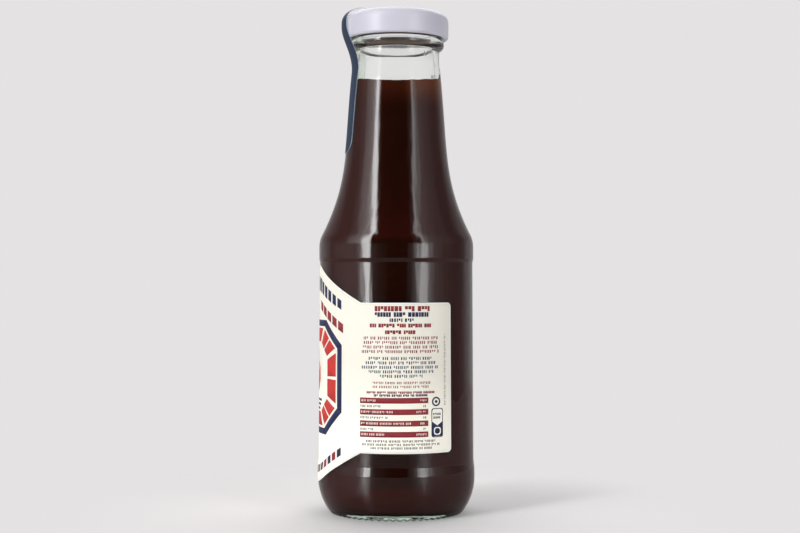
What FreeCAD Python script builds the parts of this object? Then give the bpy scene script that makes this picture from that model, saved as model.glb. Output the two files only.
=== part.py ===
"""Barbecue sauce bottle: glass bottle, sauce, twist-off cap, wrap-round label and seal strip.

Millimetres, +Z up. The origin is the middle of the ring that the bottle stands on.
The front of the label, and the paper strip that seals the cap, face -Y.
"""
import FreeCAD, Part
import math
import os

# ---- Driving dimensions -----------------------------------------------------------

# Overall
body_radius = 30.75           # widest radius, just above the heel
neck_top = 172.0              # height at which the long neck ends and the collar begins

# Foot and heel
heel_height = 14.0            # height at which the heel's curve ends
foot_inset = 4.9              # the standing ring's edge lies this far inside the body
foot_width = 3.2              # width of the standing ring
push_up = 1.0                 # how far the middle of the base is pushed up
push_up_level = 0.6           # share of the underside's radius over which it stays nearly level
knurl_count = 60              # small scallops across the standing ring
knurl_radius = 0.95
knurl_depth = 0.35

# Label panel, a shallow recess that narrows slightly upwards
panel_step_low = 17.3         # the step into the panel starts at this height
panel_low = 20.4              # and ends at this one
panel_recess_low = 0.40       # depth of the recess at its lower end
panel_recess_high = 0.83      # and at its upper end, both inside the body radius
panel_high = 97.7
panel_step_high = 99.1        # the step out to the shoulder ends here

# Shoulder and neck
shoulder_inset = 0.48         # the shoulder's foot lies this far inside the body
shoulder_start = 103.8        # height at which the shoulder starts to turn in
shoulder_round = 10.7         # radius of that turn
flank_angle = 26.7            # lean of the side where the turn ends, degrees
flare_start = 0.38            # pull of the flank on the flare, as a share of its height
flare_end = 0.47              # pull of the neck on the flare
neck_radius = 17.35           # at its upper end
neck_lean = 5.9               # lean of the neck's side at its upper end, degrees

# Collar, carrying bead and finish
collar_radius = 16.8
collar_ease = 4.2             # height over which the neck narrows to the collar
bead_rise = 11.0              # middle of the bead above the neck's end
bead_reach = 1.93             # how far the bead stands out from the collar
bead_round = 2.3              # radius of its half-round section
finish_step = 0.6             # the wall inside the cap stands this far out from the collar
finish_wall = 3.2             # glass thickness there
finish_rise = 10.4            # height of the mouth above the middle of the bead
lip_round = 1.2
track_rise = 4.6              # underside of the cap's tracks above the middle of the bead
track_height = 1.3
track_depth = 1.2
track_span = 62.0             # degrees

# Glass thickness
wall = 2.8
base_thickness = 2.2
inner_heel_round = 8.0

# Sauce
fill_drop = 4.1               # the sauce stops this far below the neck's end

# Cap
cap_track_gap = 1.6           # room between the glass tracks and the inside of the cap
cap_above_bead = 2.2          # lower edge of the cap above the middle of the bead
cap_edge_round = 3.5          # radius of the top edge
cap_sheet = 0.3               # tinplate
cap_liner = 1.0               # sealing compound inside the top
cap_ring_width = 3.5          # level ring round the pressed-down middle of the top
cap_panel_depth = 0.5
cap_panel_slope = 1.0         # width of the slope between the two
cap_roll = 1.1                # radius of the rolled lower edge
lug_count = 4                 # lugs in the cap, and tracks on the glass
lug_span = 18.0               # degrees
lug_height = 1.0
lug_side_clearance = 0.3      # between a lug and the wall of the finish
lug_track_clearance = 0.1     # between a lug and the track above it

# Label, sized as it lies flat, in distances from the middle of the front
label_thickness = 0.2
label_half_length = 69.4
label_panel_low = 26.0        # lower and upper edges of the two side panels
label_panel_high = 82.4
label_corner = 1.6
label_front_half = 33.3       # half the width of the taller front
label_front_low = 12.1        # lowest and highest points of the front
label_front_high = 97.2
label_slope = 28.1            # lean of the front's sloping edges, degrees
label_edge_steps = 14         # points that the smooth curve of a sloping edge passes through

# Seal strip
strip_thickness = 0.3
strip_half_width = 9.4
strip_length = 31.3           # stretch that lies on the neck, below its end
strip_corner = 4.6            # rounded corners of both ends
strip_glue = 0.02             # glue between the paper and what it lies on
strip_standoff = 0.8          # it stands off the cap's side and edge by this much
strip_meets_cap = 4.8         # height above the cap's lower edge where it runs upright
strip_follows_neck = 0.45     # pull of the neck on its free stretch, as a share of the rise
strip_follows_cap = 0.26      # pull of the cap's side on it
strip_over_edge = 80.0        # how far it follows the cap's round edge, degrees
strip_lands_inside = 8.5      # distance in from the cap's side where it lies down on the top
strip_past_middle = 6.0       # how far it runs on past the axis

# ---- Heights and radii that follow from them --------------------------------------

foot_radius = body_radius - foot_inset
foot_inner = foot_radius - foot_width
panel_radius_low = body_radius - panel_recess_low
panel_radius_high = body_radius - panel_recess_high
shoulder_radius = body_radius - shoulder_inset
heel_arc = (foot_inset ** 2 + heel_height ** 2) / (2 * foot_inset)
heel_sweep = math.degrees(math.asin(heel_height / heel_arc))
collar_start = neck_top + collar_ease
finish_radius = collar_radius + finish_step
mouth_radius = finish_radius - finish_wall
bead_middle = neck_top + bead_rise
bead_centre = collar_radius + bead_reach - bead_round
bead_low = bead_middle - math.sqrt(bead_round ** 2 - (collar_radius - bead_centre) ** 2)
bead_high = bead_middle + math.sqrt(bead_round ** 2 - (finish_radius - bead_centre) ** 2)
mouth_height = bead_middle + finish_rise
floor_low = push_up + base_thickness
fill_level = neck_top - fill_drop
cap_top = mouth_height + cap_liner + cap_sheet + cap_panel_depth
cap_low = bead_middle + cap_above_bead
cap_radius = finish_radius + track_depth + cap_track_gap + cap_sheet
cap_panel_radius = cap_radius - cap_edge_round - cap_ring_width - cap_panel_slope
strip_lands = cap_radius - strip_lands_inside
track_low = bead_middle + track_rise


# ---- Outline tools: every outline is drawn in the XZ plane and turned about Z ------

def at(radius, height):
    return FreeCAD.Vector(radius, 0, height)


def direction(angle):
    """Unit vector that leans inwards from upright by an angle in degrees."""
    return at(-math.sin(math.radians(angle)), math.cos(math.radians(angle)))


def path(*points):
    """Straight edges through the points."""
    return [Part.LineSegment(a, b).toShape() for a, b in zip(points, points[1:])]


def arc(centre, radius, angle_from, angle_to):
    """Arc about a centre, between two angles in degrees from the horizontal."""
    angles = (angle_from, (angle_from + angle_to) / 2, angle_to)
    ends = [centre + at(math.cos(math.radians(a)), math.sin(math.radians(a))) * radius for a in angles]
    return Part.Arc(*ends).toShape()


def bezier(*poles):
    curve = Part.BezierCurve()
    curve.setPoles(list(poles))
    return curve.toShape()


def first(edge):
    return edge.valueAt(edge.FirstParameter)


def last(edge):
    return edge.valueAt(edge.LastParameter)


def closed_face(edges):
    """Face inside a chain of edges, with straight edges across any gap in the chain."""
    chain = []
    for edge in edges:
        if chain and not last(chain[-1]).isEqual(first(edge), 1e-6):
            chain += path(last(chain[-1]), first(edge))
        chain.append(edge)
    if not last(chain[-1]).isEqual(first(chain[0]), 1e-6):
        chain += path(last(chain[-1]), first(chain[0]))
    return Part.Face(Part.Wire(chain))


def turned(face, start=0.0, sweep=360.0):
    """Turn a face about the Z axis, from one angle and through another, in degrees."""
    axis = at(0, 1)
    placed = face.rotated(at(0, 0), axis, start)
    return placed.revolve(at(0, 0), axis, sweep)


def flipped(edges):
    """The same chain, run the other way."""
    result = []
    for edge in reversed(edges):
        curve = edge.Curve.copy()
        low, high = edge.FirstParameter, edge.LastParameter
        curve.reverse()
        result.append(curve.toShape(curve.reversedParameter(high), curve.reversedParameter(low)))
    return result


def ring_blocks(inner, outer, low, high, span):
    """One square-sectioned stretch of ring for each lug, evenly spaced."""
    section = closed_face(path(at(inner, low), at(outer, low), at(outer, high), at(inner, high)))
    pitch = 360.0 / lug_count
    return [turned(section, index * pitch - span / 2, span) for index in range(lug_count)]


# ---- Outline of the bottle --------------------------------------------------------

def heel_edges(inset):
    """Heel, body ring and the step into the label panel, moved in by a distance."""
    radius = body_radius - inset
    heel = arc(at(body_radius - heel_arc, heel_height), heel_arc - inset, -heel_sweep, 0)
    return [heel] + path(last(heel), at(radius, panel_step_low), at(panel_radius_low - inset, panel_low))


def body_edges(inset):
    """Label panel, shoulder and neck, moved in by a distance."""
    foot = shoulder_radius - inset
    centre = at(shoulder_radius - shoulder_round, shoulder_start)
    shoulder = arc(centre, shoulder_round - inset, 0, flank_angle)
    neck_end = at(neck_radius - inset, neck_top)
    rise = neck_top - last(shoulder).z
    flare = bezier(last(shoulder), last(shoulder) + direction(flank_angle) * rise * flare_start,
                   neck_end - direction(neck_lean) * rise * flare_end, neck_end)
    panel = path(at(panel_radius_low - inset, panel_low), at(panel_radius_high - inset, panel_high),
                 at(foot, panel_step_high), at(foot, shoulder_start))
    return panel + [shoulder, flare]


def ease_in(start, lean, end):
    """Smooth change of radius that starts at a lean and ends upright."""
    half = (end.z - start.z) / 2
    return bezier(start, start + direction(lean) * half, end - at(0, half), end)


def finish_edges():
    """Collar, bead, wall of the finish and rounded lip."""
    bead_arc = Part.Arc(at(collar_radius, bead_low), at(bead_centre + bead_round, bead_middle),
                        at(finish_radius, bead_high)).toShape()
    collar = [ease_in(at(neck_radius, neck_top), neck_lean, at(collar_radius, collar_start))]
    collar += path(at(collar_radius, collar_start), at(collar_radius, bead_low))
    lip = arc(at(finish_radius - lip_round, mouth_height - lip_round), lip_round, 0, 90)
    return collar + [bead_arc, lip] + path(last(lip), at(mouth_radius, mouth_height))


def cavity_edges():
    """Inner surface, from the middle of the floor up to the mouth."""
    floor_edge = panel_radius_low - wall - inner_heel_round
    floor_middle = at(0, floor_low + push_up / 2)
    floor = bezier(floor_middle, floor_middle + at(floor_edge / 2, 0), at(floor_edge / 2, floor_low),
                   at(floor_edge, floor_low))
    heel = arc(at(floor_edge, floor_low + inner_heel_round), inner_heel_round, -90, 0)
    side = path(last(heel), at(panel_radius_low - wall, panel_low))
    neck = ease_in(at(neck_radius - wall, neck_top), neck_lean, at(mouth_radius, collar_start))
    bore = path(last(neck), at(mouth_radius, mouth_height))
    return [floor, heel] + side + body_edges(wall) + [neck] + bore


def base_edges():
    """Underside, pushed up in the middle, out to the edge of the standing ring."""
    level_to = foot_inner * push_up_level
    eased = at((level_to + foot_inner) / 2, 0)
    underside = bezier(at(0, push_up), at(level_to, push_up), eased, at(foot_inner, 0))
    return [underside] + path(at(foot_inner, 0), at(foot_radius, 0))


# ---- The pieces -------------------------------------------------------------------

def make_bottle():
    outside = base_edges() + heel_edges(0) + body_edges(0) + finish_edges()
    glass = turned(closed_face(outside + flipped(cavity_edges())))
    tracks = ring_blocks(finish_radius - lip_round, finish_radius + track_depth,
                         track_low, track_low + track_height, track_span)
    glass = glass.fuse(tracks)
    scallops = []
    for index in range(knurl_count):
        turn = 2 * math.pi * index / knurl_count
        outwards = FreeCAD.Vector(math.cos(turn), math.sin(turn), 0)
        start = outwards * (foot_inner - knurl_radius) + at(0, knurl_depth - knurl_radius)
        scallops.append(Part.makeCylinder(knurl_radius, body_radius - foot_inner, start, outwards))
    return glass.cut(scallops)


def make_sauce():
    cavity = turned(closed_face(cavity_edges() + path(at(mouth_radius, mouth_height), at(0, mouth_height))))
    return cavity.common(Part.makeCylinder(body_radius, fill_level))


def make_cap():
    side = cap_top - cap_edge_round
    edge_centre = at(cap_radius - cap_edge_round, side)
    roll_centre = at(cap_radius - cap_roll, cap_low + cap_roll)
    panel_height = cap_top - cap_panel_depth
    top = path(at(0, panel_height), at(cap_panel_radius, panel_height),
               at(cap_panel_radius + cap_panel_slope, cap_top), at(cap_radius - cap_edge_round, cap_top))
    outside = top + [arc(edge_centre, cap_edge_round, 90, 0), arc(roll_centre, cap_roll, 0, -270)]
    inner_wall = cap_radius - cap_sheet
    underside = path(at(inner_wall, cap_low + 2 * cap_roll), at(inner_wall, side))
    underside += [arc(edge_centre, cap_edge_round - cap_sheet, 0, 90)]
    liner_edge = finish_radius - lip_round
    underside += path(at(liner_edge, cap_top - cap_sheet), at(liner_edge, mouth_height), at(0, mouth_height))
    shell = turned(closed_face(outside + underside))
    lug_high = track_low - lug_track_clearance
    lugs = ring_blocks(finish_radius + lug_side_clearance, inner_wall + cap_sheet / 2,
                       lug_high - lug_height, lug_high, lug_span)
    return shell.fuse(lugs)


def label_edge(panel_edge, front_point, sign):
    """Sloping edge of the label's front, in the YZ plane, from the front to the side panel.

    Flat, it is an arc across the front that runs into a straight slope. The label is
    wrapped, so a distance along the surface becomes a turn about the axis.
    """
    slope = math.radians(label_slope)
    peak = panel_edge + sign * label_front_half * math.tan(slope)
    crown = sign * (peak - front_point) / (1 / math.cos(slope) - 1)
    points = []
    for step in range(label_edge_steps + 1):
        distance = label_front_half * step / label_edge_steps
        if distance < crown * math.sin(slope):
            height = front_point - sign * (crown - math.sqrt(crown ** 2 - distance ** 2))
        else:
            height = panel_edge + sign * (label_front_half - distance) * math.tan(slope)
        points.append(wrapped(distance, height))
    curve = Part.BSplineCurve()
    curve.interpolate(points)
    return curve.toShape()


def wrapped(distance, height):
    """Point of the flat label, seen from the side once it is on the bottle."""
    return FreeCAD.Vector(0, -panel_radius_high * math.cos(distance / panel_radius_high), height)


def make_label():
    upper = label_edge(label_panel_high, label_front_high, 1)
    lower = label_edge(label_panel_low, label_front_low, -1)
    inset = label_half_length - label_corner
    cut_in = label_corner * (1 - math.sqrt(0.5))
    high_corner = Part.Arc(wrapped(inset, label_panel_high),
                           wrapped(label_half_length - cut_in, label_panel_high - cut_in),
                           wrapped(label_half_length, label_panel_high - label_corner)).toShape()
    low_corner = Part.Arc(wrapped(label_half_length, label_panel_low + label_corner),
                          wrapped(label_half_length - cut_in, label_panel_low + cut_in),
                          wrapped(inset, label_panel_low)).toShape()
    ahead = FreeCAD.Vector(0, -2 * body_radius, 0)
    front = path(last(flipped([lower])[0]) + ahead, first(upper) + ahead)
    outline = closed_face(front + [upper, high_corner, low_corner] + flipped([lower]))
    reach = FreeCAD.Vector(2 * body_radius, 0, 0)
    cutter = outline.translated(reach * -0.5).extrude(reach)
    glass_side = heel_edges(0) + path(at(panel_radius_low, panel_low), at(panel_radius_high, panel_high))
    paper_side = heel_edges(-label_thickness) + path(at(panel_radius_low + label_thickness, panel_low),
                                                     at(panel_radius_high + label_thickness, panel_high))
    return turned(closed_face(glass_side + flipped(paper_side))).common(cutter)


def strip_edges(lift):
    """Section of the strip: up the neck, out round the cap's edge and onto its top."""
    flare = body_edges(-lift)[-1]
    upright = cap_radius + strip_standoff + lift
    side_low = at(upright, cap_low + strip_meets_cap)
    leaves = last(flare)
    rise = side_low.z - leaves.z
    pull = bezier(leaves, leaves + at(0, rise * strip_follows_neck),
                  side_low - at(0, rise * strip_follows_cap), side_low)
    edge_centre = at(cap_radius - cap_edge_round, cap_top - cap_edge_round)
    over = arc(edge_centre, cap_edge_round + strip_standoff + lift, 0, strip_over_edge)
    landing = at(strip_lands, cap_top + lift)
    reach = (last(over).x - strip_lands) / 2
    pull_in = direction(strip_over_edge) * reach
    down = bezier(last(over), last(over) + pull_in, landing + at(reach, 0), landing)
    return [flare, pull] + path(side_low, first(over)) + [over, down] + path(landing, at(0, cap_top + lift))


def rounded_end(low, high, to_point):
    """Strip outline with its two corners rounded at the low end."""
    half = strip_half_width
    inset = half - strip_corner
    cut_in = strip_corner * (1 - math.sqrt(0.5))
    left = Part.Arc(to_point(-half, low + strip_corner), to_point(cut_in - half, low + cut_in),
                    to_point(-inset, low)).toShape()
    right = Part.Arc(to_point(inset, low), to_point(half - cut_in, low + cut_in),
                     to_point(half, low + strip_corner)).toShape()
    return closed_face([left, right] + path(to_point(half, high), to_point(-half, high)))


def make_strip():
    band = closed_face(strip_edges(strip_glue) + flipped(strip_edges(strip_glue + strip_thickness)))
    front_half = turned(band, 180.0, 180.0)
    side_view = rounded_end(neck_top - strip_length, cap_top + cap_edge_round,
                            lambda across, height: FreeCAD.Vector(across, 0, height))
    front = front_half.common(side_view.extrude(FreeCAD.Vector(0, -2 * cap_radius, 0)))
    plan_view = rounded_end(-strip_past_middle, 0,
                            lambda across, along: FreeCAD.Vector(across, -along, cap_top + strip_glue))
    tongue = plan_view.extrude(at(0, strip_thickness))
    return front.fuse(tongue).removeSplitter()


# ---- Build ------------------------------------------------------------------------

pieces = {
    "bottle": make_bottle(),
    "sauce": make_sauce(),
    "cap": make_cap(),
    "label": make_label(),
    "seal_strip": make_strip(),
}

os.makedirs("parts", exist_ok=True)
for name, piece in pieces.items():
    solid = piece.Solids[0]
    solid.exportStep(f"parts/{name}.step")
    box = solid.BoundBox
    print(f"{name}: solids {len(piece.Solids)}, valid {solid.isValid()}, volume {solid.Volume / 1000:.2f} ml, "
          f"height {box.ZMin:.2f} to {box.ZMax:.2f}")
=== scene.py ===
# %% [markdown]
# # A glass bottle of barbecue sauce
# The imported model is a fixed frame: it says how large each piece is and where it stands.
# This lesson puts the looks around it. Glass, sauce and cap are turned shapes, so one
# Geometry Nodes tree makes all three from their outlines. The label and its print are
# drawn flat, as a printer would, and a second tree bends them round the glass.

# %% Load the frame
import bpy
import bmesh
import math
import random
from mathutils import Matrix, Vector


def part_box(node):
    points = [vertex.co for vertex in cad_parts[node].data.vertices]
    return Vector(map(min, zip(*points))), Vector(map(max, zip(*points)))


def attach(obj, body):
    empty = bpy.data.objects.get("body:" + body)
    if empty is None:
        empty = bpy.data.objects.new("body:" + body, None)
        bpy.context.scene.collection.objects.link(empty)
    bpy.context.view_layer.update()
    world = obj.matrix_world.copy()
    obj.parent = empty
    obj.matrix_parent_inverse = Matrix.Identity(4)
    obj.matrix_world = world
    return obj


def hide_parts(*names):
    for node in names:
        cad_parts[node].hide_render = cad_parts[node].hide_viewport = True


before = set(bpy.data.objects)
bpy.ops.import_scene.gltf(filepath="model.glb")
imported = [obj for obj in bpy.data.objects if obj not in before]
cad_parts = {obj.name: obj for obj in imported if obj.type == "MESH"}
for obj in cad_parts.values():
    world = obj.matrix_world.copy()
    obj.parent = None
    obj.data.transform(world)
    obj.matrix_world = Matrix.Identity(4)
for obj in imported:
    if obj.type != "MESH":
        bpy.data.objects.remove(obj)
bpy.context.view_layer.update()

scene = bpy.context.scene
MM = 0.001

# %% [markdown]
# ## Helpers for nodes
# Colours are written as sRGB hex, the way a paint chart gives them, and turned to the
# linear values that Blender calculates with. One function adds any node to any tree:
# a value is set on the socket, and another node's socket is linked to it.

# %% Colours and nodes
def linear(hex_colour):
    channels = [int(hex_colour[i:i + 2], 16) / 255 for i in (1, 3, 5)]
    return tuple(c / 12.92 if c <= 0.04045 else ((c + 0.055) / 1.055) ** 2.4 for c in channels) + (1.0,)


def add(tree, kind, inputs=None, **settings):
    node = tree.nodes.new(kind)
    for name, value in settings.items():
        setattr(node, name, value)
    for key, value in (inputs or {}).items():
        if isinstance(value, bpy.types.NodeSocket):
            tree.links.new(value, node.inputs[key])
        else:
            node.inputs[key].default_value = value
    return node


def put(tree, kind, inputs=None, **settings):
    """Add a node and pass on its first output."""
    return add(tree, kind, inputs, **settings).outputs[0]


def maths(tree, operation, a, b=0.0, c=0.0):
    return put(tree, "ShaderNodeMath", {0: a, 1: b, 2: c}, operation=operation)


def ramp(tree, value, start, end, low=0.0, high=1.0, curve="SMOOTHSTEP"):
    """A number that goes from low to high while the value goes from start to end."""
    return put(tree, "ShaderNodeMapRange", {"Value": value, 1: start, 2: end, 3: low, 4: high},
               interpolation_type=curve)


def split(tree, vector):
    return add(tree, "ShaderNodeSeparateXYZ", {0: vector}).outputs


def mixed(tree, share, first, second):
    """Two colours, mixed by a share of the second."""
    return add(tree, "ShaderNodeMix", {0: share, 6: first, 7: second}, data_type="RGBA").outputs[2]


def blended(tree, share, first, second):
    """Two shaders, mixed by a share of the second."""
    return put(tree, "ShaderNodeMixShader", {0: share, 1: first, 2: second})


def facing_away(tree):
    """From 0, where the surface faces the eye, to 1, where it is seen edge on."""
    return add(tree, "ShaderNodeLayerWeight", {"Blend": 0.5}).outputs["Facing"]


def named(tree, name):
    return put(tree, "GeometryNodeInputNamedAttribute", {"Name": name}, data_type="FLOAT")


def noise(tree, place, grain, detail):
    """Noise whose grains are about so many mm long."""
    return add(tree, "ShaderNodeTexNoise", {
        "Vector": place, "Scale": 1 / (grain * MM), "Detail": detail}).outputs["Fac"]


def bumped(tree, pattern, strength, depth):
    """The surface's direction, disturbed by a pattern so many mm deep."""
    return put(tree, "ShaderNodeBump", {
        "Height": pattern, "Strength": strength, "Distance": depth * MM})


def new_material(name):
    """An empty material, its tree, and the place on the object that patterns go by."""
    made = bpy.data.materials.new(name)
    made.use_nodes = True
    made.node_tree.nodes.clear()
    return made, made.node_tree, add(made.node_tree, "ShaderNodeTexCoord").outputs["Object"]


def painted(material, surface, **more):
    add(material.node_tree, "ShaderNodeOutputMaterial", {"Surface": surface, **more})
    print(f"{material.name}: {len(material.node_tree.nodes)} nodes")
    return material


WHITE = linear("#FFFFFF")
print("mid grey #808080 throws back", round(linear("#808080")[0], 3), "of the light")

# %% [markdown]
# ## Helpers for meshes
# A piece starts as points and faces. Its modifiers are then settled into a plain mesh,
# which is told which body it rides on, and the CAD node that it stands for is hidden.

# %% Meshes and pieces
def mesh_object(name, points, edges=(), faces=()):
    mesh = bpy.data.meshes.new(name)
    mesh.from_pydata(points, edges, faces)
    piece = bpy.data.objects.new(name, mesh)
    scene.collection.objects.link(piece)
    return piece


def set_attribute(piece, name, values):
    piece.data.attributes.new(name, "FLOAT", "POINT").data.foreach_set("value", values)


def thicken(sheet, thickness):
    """Give a sheet so many mm of thickness on its outer side."""
    layer = sheet.modifiers.new("thickness", "SOLIDIFY")
    layer.thickness = thickness * MM
    layer.offset = 1
    return layer


def settle(piece, name):
    """Turn what the modifiers make into a plain mesh, and keep only that."""
    bpy.context.view_layer.update()
    ready = piece.evaluated_get(bpy.context.evaluated_depsgraph_get())
    mesh = bpy.data.meshes.new_from_object(ready)
    mesh.name = name
    done = bpy.data.objects.new(name, mesh)
    scene.collection.objects.link(done)
    bpy.data.objects.remove(piece)
    return done


def finish_piece(piece, node=None):
    """The piece rides on the one body, and may stand for a CAD node, which is then hidden."""
    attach(piece, "root")
    if node:
        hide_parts(node)
    print(f"{piece.name}: {len(piece.data.polygons)} faces")
    return piece


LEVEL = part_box("sauce")[1].z
print("the sauce stands", round(LEVEL / MM, 2), "mm high")

# %% [markdown]
# ## Materials: glass
# Soda-lime glass has an index near 1.52. Its iron turns it faintly green, which only
# shows where light runs far through it, as in the thick base, so the green is an
# absorption and the surface itself is clear. Lamps can't shine through modelled glass
# without a lot of noise, so shadow and diffuse rays pass straight through it. The blown
# wall is never quite even: it has faint upright cords a few millimetres apart, and a
# weak bump that is stretched along the height makes the reflections waver as they do.
# Over the dark sauce the lamps show as bright strips. Over the empty neck, with a bright
# backdrop behind, they are held back so that they don't burn out.

# %% Glass
def make_glass():
    glass, tree, place = new_material("soda_lime_glass_blown")
    upright = put(tree, "ShaderNodeMapping", {"Vector": place, "Scale": (1, 1, 0.12)})
    shared = {"Roughness": 0.0, "IOR": 1.52, "Normal": bumped(tree, noise(tree, upright, 5, 2), 0.6, 0.25)}
    bends = put(tree, "ShaderNodeBsdfRefraction", {"Color": WHITE, **shared})
    mirrors = put(tree, "ShaderNodeBsdfPrincipled", {
        "Base Color": WHITE, "Transmission Weight": 1.0, **shared})

    height = split(tree, place)["Z"]
    over_sauce = ramp(tree, height, LEVEL - 0.5 * MM, LEVEL + 1.5 * MM, 0.0, 0.85, "LINEAR")
    under_bead = ramp(tree, height, 178 * MM, 180 * MM, 1.0, 0.0, "LINEAR")
    facing = facing_away(tree)
    head_on = ramp(tree, facing, 0.14, 0.3, 1.0, 0.0, "LINEAR")
    held_back = maths(tree, "MULTIPLY", maths(tree, "MULTIPLY", over_sauce, under_bead), head_on)
    surface = blended(tree, held_back, mirrors, bends)

    passed = put(tree, "ShaderNodeBsdfTransparent", {"Color": linear("#F7FAF8")})
    ray = add(tree, "ShaderNodeLightPath").outputs
    passes = maths(tree, "MAXIMUM", ray["Is Shadow Ray"], ray["Is Diffuse Ray"])
    green = put(tree, "ShaderNodeVolumeAbsorption", {"Color": linear("#BFE3CC"), "Density": 20.0})
    return painted(glass, blended(tree, passes, surface, passed), Volume=green)


glass = make_glass()

# %% [markdown]
# ## Materials: sauce
# Cooked tomato, sugar and smoke make a sauce that is nearly black in bulk and reddish
# brown where it thins out at the wetted edge. Against the glass it has no gloss of its
# own, because the two have nearly the same index: only its open surface shines. Light
# that skims the contact at a very flat angle from inside the glass is the exception:
# it is thrown back, and that is why the glass under the sauce glows pale green. The
# sauce's colour is painted a shade redder at the sides and at the heel: painted light,
# for light from behind that seeps round and for light that the thick glass gathers.

# %% Sauce
def make_sauce(name, gloss):
    sauce, tree, place = new_material(name)
    at = split(tree, place)
    facing = facing_away(tree)
    deep = mixed(tree, noise(tree, place, 9, 3), linear("#190602"), linear("#220A04"))
    # Painted light: the colour turns redder towards the sides as seen, and at the heel.
    painted_side_light = ramp(tree, facing, 0.005, 0.09)
    painted_heel_light = ramp(tree, at["Z"], 11 * MM, 14 * MM, 1.35, 0.0)
    bulk = mixed(tree, maths(tree, "MAXIMUM", painted_side_light, painted_heel_light), deep, linear("#300D08"))
    smeared = ramp(tree, at["Y"], 2 * MM, 9 * MM, curve="LINEAR")
    film = mixed(tree, smeared, linear("#38160A"), linear("#5C2B10"))
    thin = ramp(tree, at["Z"], LEVEL - 11 * MM, LEVEL + 0.4 * MM)
    speck = add(tree, "ShaderNodeTexVoronoi", {"Vector": place, "Scale": 1 / (2.2 * MM)}).outputs["Distance"]
    spice = ramp(tree, speck, 0.12, 0.2, 0.4, 0.0, "LINEAR")
    surface = put(tree, "ShaderNodeBsdfPrincipled", {
        "Base Color": mixed(tree, spice, mixed(tree, thin, bulk, film), linear("#30130B")),
        "Roughness": 0.25 if gloss else 1.0, "IOR": 1.42 if gloss else 1.0})
    if not gloss:
        skims = ramp(tree, facing, 0.58, 0.66, curve="LINEAR")
        mirror = put(tree, "ShaderNodeBsdfAnisotropic", {"Color": WHITE, "Roughness": 0.04})
        surface = blended(tree, skims, surface, mirror)
    return painted(sauce, surface)


sauce_wetting = make_sauce("tomato_sauce_against_glass", gloss=False)
sauce_open = make_sauce("tomato_sauce_open_surface", gloss=True)

# %% [markdown]
# ## Materials: enamelled cap
# The cap is tinplate with baked white enamel: a dielectric gloss coat, with the faint
# orange peel that a stoved finish has.

# %% Enamel
def make_enamel():
    enamel, tree, place = new_material("stoved_white_enamel")
    peel = noise(tree, place, 1.6, 2)
    surface = put(tree, "ShaderNodeBsdfPrincipled", {
        "Base Color": mixed(tree, noise(tree, place, 18, 1), linear("#C0BFCC"), linear("#C7C6D1")),
        "Roughness": ramp(tree, peel, 0.0, 1.0, 0.26, 0.36, "LINEAR"), "IOR": 1.5,
        "Normal": bumped(tree, peel, 0.25, 0.02)})
    return painted(enamel, surface)


enamel = make_enamel()

# %% [markdown]
# ## Materials: paper and ink
# The label is uncoated paper. Fibres a few tenths of a millimetre long mottle it and
# give it a faint tooth. Each ink takes the same tooth, since it soaks into the paper,
# and is a little patchy where it lies solid. Paper close to a pale table is given a
# painted glow, an emission of its own colour that stands in for the light thrown up
# from below, and the strip's thin unprinted back glows too, as painted light let through.

# %% Paper and inks
def make_printed(name, hex_colour, hex_patch, roughness, glow=(0.0, 0.0)):
    """Paper or ink. The glow is painted light, an emission that is a share of its own colour, low down and
    high up.
    """
    paper, tree, place = new_material(name)
    colour = mixed(tree, noise(tree, place, 3, 2), linear(hex_colour), linear(hex_patch))
    surface = put(tree, "ShaderNodeBsdfPrincipled", {
        "Base Color": colour, "Roughness": roughness, "IOR": 1.45,
        "Normal": bumped(tree, noise(tree, place, 0.35, 4), 0.3, 0.02),
        "Emission Color": colour,
        "Emission Strength": ramp(tree, split(tree, place)["Z"], 28 * MM, 62 * MM, *glow)})
    return painted(paper, surface)


# White paper and cream ink glow low down: painted light.
white_paper = make_printed("uncoated_white_paper", "#FAFAF7", "#F4F4F0", 0.75, glow=(0.24, 0.0))
cream_ink = make_printed("offset_cream_ink", "#F1EEE2", "#EEEBDD", 0.65, glow=(0.24, 0.0))
navy_ink = make_printed("offset_navy_ink", "#1D264C", "#242E56", 0.6)
red_ink = make_printed("offset_dark_red_ink", "#8A2730", "#942D34", 0.6)
bright_red_ink = make_printed("offset_bright_red_ink", "#C42F2B", "#CE3831", 0.6)
strip_paper = make_printed("coated_navy_strip_paper", "#1A2A40", "#20314A", 0.6)
strip_core = make_printed("paper_core_at_cut", "#AEB9CB", "#A2AEC2", 0.8)
# Painted light: the strip's back glows at every height.
strip_back = make_printed("unprinted_strip_back", "#F6F5F0", "#EFEEE9", 0.8, glow=(0.43, 0.43))
cap_lacquer = make_printed("gold_lacquer_and_sealing_compound", "#6B4326", "#7A4E2C", 0.4)

# %% [markdown]
# ## Outlines
# A turned piece is known by half of its section. Each outline is a chain of straight
# runs, arcs and Bezier curves, in mm as (radius, height). Smooth shading bends over a
# long face that ends at a tight curve, so a straight run gets an extra point close to
# each of its ends.

# %% Outline tools
def lean(angle):
    """Direction that leans inwards from upright by an angle in degrees."""
    return Vector((-math.sin(math.radians(angle)), math.cos(math.radians(angle))))


def arc(centre, radius, angle_from, angle_to, steps):
    turns = [math.radians(angle_from + (angle_to - angle_from) * i / steps) for i in range(steps + 1)]
    return [(centre[0] + radius * math.cos(t), centre[1] + radius * math.sin(t)) for t in turns]


def bezier(a, b, c, d, steps):
    points = []
    for i in range(steps + 1):
        t = i / steps
        share = ((1 - t) ** 3, 3 * t * (1 - t) ** 2, 3 * t * t * (1 - t), t ** 3)
        points.append(tuple(sum(w * p[k] for w, p in zip(share, (a, b, c, d))) for k in (0, 1)))
    return points


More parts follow.
